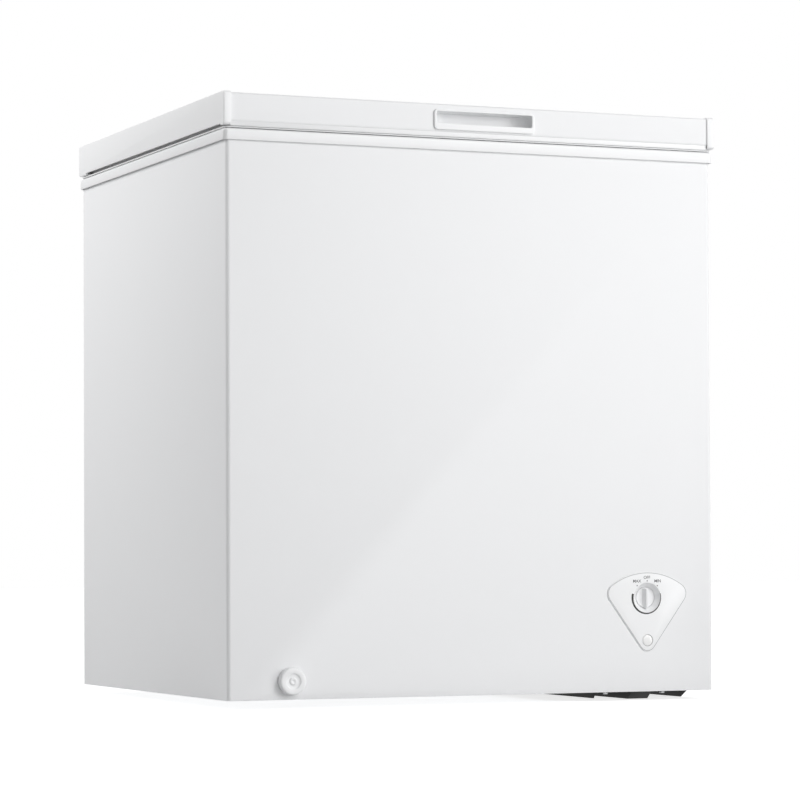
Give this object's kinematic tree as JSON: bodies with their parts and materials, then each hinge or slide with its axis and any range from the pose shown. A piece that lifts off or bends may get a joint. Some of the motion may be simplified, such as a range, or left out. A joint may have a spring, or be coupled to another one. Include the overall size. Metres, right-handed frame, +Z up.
{
  "type": "chest freezer",
  "caption": "Chest freezer with a foamed hinged lid, finger grip, stepped aluminium tub, hanging basket, thermostat knob, drain and compressor under the step.",
  "frame": {"origin": "on the floor, under the centre of the bounding box", "axes": "+X to the user's right, +Y to the back where the hinges are, +Z up"},
  "size_m": [0.76, 0.683, 0.8465],
  "materials": {
    "white_steel": "white powder paint, slight orange peel",
    "white_plastic": "satin white ABS",
    "gasket": "light grey soft PVC",
    "foam": "rigid polyurethane foam, cream",
    "liner": "stucco embossed aluminium",
    "galvanised": "galvanised sheet",
    "black_steel": "black paint, semi-gloss",
    "black_plastic": "black moulded plastic",
    "grommet_rubber": "black rubber",
    "copper": "drawn copper tube",
    "zinc": "bright zinc plate",
    "knob_plastic": "satin light grey plastic",
    "lens": "frosted clear lens",
    "basket_wire": "white vinyl-coated wire"
  },
  "bodies": {
    "cabinet": {"cabinet_shell": "white_steel", "top_rim": "white_plastic", "control_panel": "white_plastic", "drain_spout": "white_plastic", "foot_front_left": "white_plastic", "foot_rear_left": "white_plastic", "cabinet_foam": "foam", "inner_liner": "liner", "bottom_pan": "galvanised", "compressor_cover": "galvanised", "hinge_base_left": "galvanised", "hinge_base_right": "galvanised", "thermostat_body": "galvanised", "compressor_base_plate": "black_steel", "compressor_housing": "black_steel", "compressor_bracket": "black_steel", "compressor_terminal_cover": "black_plastic", "cord_gland": "black_plastic", "indicator_lamp": "black_plastic", "grommet_front_left": "grommet_rubber", "grommet_front_right": "grommet_rubber", "grommet_rear_left": "grommet_rubber", "grommet_rear_right": "grommet_rubber", "condenser_coil": "copper", "evaporator_coil": "copper", "filter_drier": "copper", "capillary_tube": "copper", "discharge_tube": "copper", "suction_tube": "copper", "hinge_pin_left": "zinc", "hinge_pin_right": "zinc", "hinge_spring_left": "zinc", "hinge_spring_right": "zinc", "base_plate_screw_left": "zinc", "base_plate_screw_right": "zinc", "cover_screw_lower_left": "zinc", "cover_screw_lower_right": "zinc", "cover_screw_upper_left": "zinc", "cover_screw_upper_right": "zinc", "hinge_screw_left_upper": "zinc", "hinge_screw_left_lower": "zinc", "hinge_screw_right_upper": "zinc", "hinge_screw_right_lower": "zinc", "indicator_lens": "lens"},
    "lid": {"lid_shell": "white_steel", "lid_end_cap_left": "white_plastic", "lid_end_cap_right": "white_plastic", "lid_handle": "white_plastic", "lid_inner_panel": "white_plastic", "lid_foam": "foam", "lid_gasket": "gasket", "hinge_arm_left": "galvanised", "hinge_arm_right": "galvanised"},
    "knob": {"control_knob": "knob_plastic", "thermostat_spindle": "zinc"},
    "drain_cap": {"drain_cap": "white_plastic"},
    "drain_plug": {"liner_drain_plug": "white_plastic"},
    "basket": {"wire_basket": "basket_wire"}
  },
  "joints": [
    {"name": "lid_hinge", "type": "hinge", "parent": "cabinet", "child": "lid", "pos_m": [0, 0.3335, 0.801], "axis": [-1, 0, 0], "range_deg": [0, 80]},
    {"name": "knob_turn", "type": "hinge", "parent": "cabinet", "child": "knob", "pos_m": [0.268, -0.3305, 0.148], "axis": [0, 1, 0], "range_deg": [-180, 136]},
    {"name": "drain_cap_pull", "type": "slide", "parent": "cabinet", "child": "drain_cap", "axis": [0, -1, 0], "range_m": [0, 0.025]},
    {"name": "drain_plug_lift", "type": "slide", "parent": "cabinet", "child": "drain_plug", "axis": [0, 0, 1], "range_m": [0, 0.03]},
    {"name": "basket_slide", "type": "slide", "parent": "cabinet", "child": "basket", "axis": [1, 0, 0], "range_m": [-0.39, 0.012]}
  ]
}
